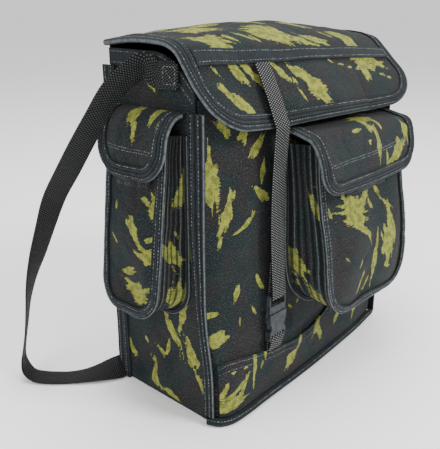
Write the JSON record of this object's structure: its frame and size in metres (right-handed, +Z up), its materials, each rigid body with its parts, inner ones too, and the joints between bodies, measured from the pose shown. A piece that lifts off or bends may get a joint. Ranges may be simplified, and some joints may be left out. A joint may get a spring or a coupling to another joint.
{
  "type": "haversack",
  "caption": "Upright boxy haversack in brush-stroke camouflage cloth, with a domed flap, webbing closure strap and side-release buckle, bellows pockets and shoulder straps.",
  "frame": {"origin": "centre of the bottom panel's underside, midway between the side seams and between the front and rear corner seams", "axes": "+Z up, -Y towards the front with the closure strap, +X towards the right as seen from the front"},
  "size_m": [0.493, 0.278, 0.3756],
  "materials": {
    "camo_canvas": "woven, matt, brush-stroke camouflage",
    "binding_tape": "ribbed tape, matt",
    "webbing": "woven webbing, slight sheen",
    "hook_tape": "dense pile, matt",
    "buckle_plastic": "moulded, slight grain"
  },
  "bodies": {
    "root": {"bottom_panel": "camo_canvas", "back_panel": "camo_canvas", "left_side_panel": "camo_canvas", "right_side_panel": "camo_canvas", "left_side_hem_tape": "binding_tape", "right_side_hem_tape": "binding_tape", "front_panel": "camo_canvas", "base_band": "camo_canvas", "left_front_seam_tape": "binding_tape", "right_front_seam_tape": "binding_tape", "left_rear_seam_tape": "binding_tape", "right_rear_seam_tape": "binding_tape", "front_piping": "binding_tape", "main_flap": "camo_canvas", "main_flap_binding": "binding_tape", "crown_band": "binding_tape", "closure_strap": "webbing", "buckle_tab": "webbing", "buckle_plug": "buckle_plastic", "buckle_socket": "buckle_plastic", "left_shoulder_strap": "webbing", "right_shoulder_strap": "webbing", "left_strap_anchor_patch": "webbing", "right_strap_anchor_patch": "webbing", "front_pocket_face": "camo_canvas", "front_pocket_gusset": "camo_canvas", "front_pocket_binding": "binding_tape", "front_pocket_seam": "binding_tape", "front_pocket_hook_tape": "hook_tape", "front_pocket_flap": "camo_canvas", "front_pocket_flap_binding": "binding_tape", "left_pocket_face": "camo_canvas", "right_pocket_face": "camo_canvas", "left_pocket_gusset": "camo_canvas", "right_pocket_gusset": "camo_canvas", "left_pocket_binding": "binding_tape", "right_pocket_binding": "binding_tape", "left_pocket_seam": "binding_tape", "right_pocket_seam": "binding_tape", "left_pocket_hook_tape": "hook_tape", "right_pocket_hook_tape": "hook_tape", "left_pocket_flap": "camo_canvas", "right_pocket_flap": "camo_canvas", "left_pocket_flap_binding": "binding_tape", "right_pocket_flap_binding": "binding_tape"}
  },
  "joints": []
}
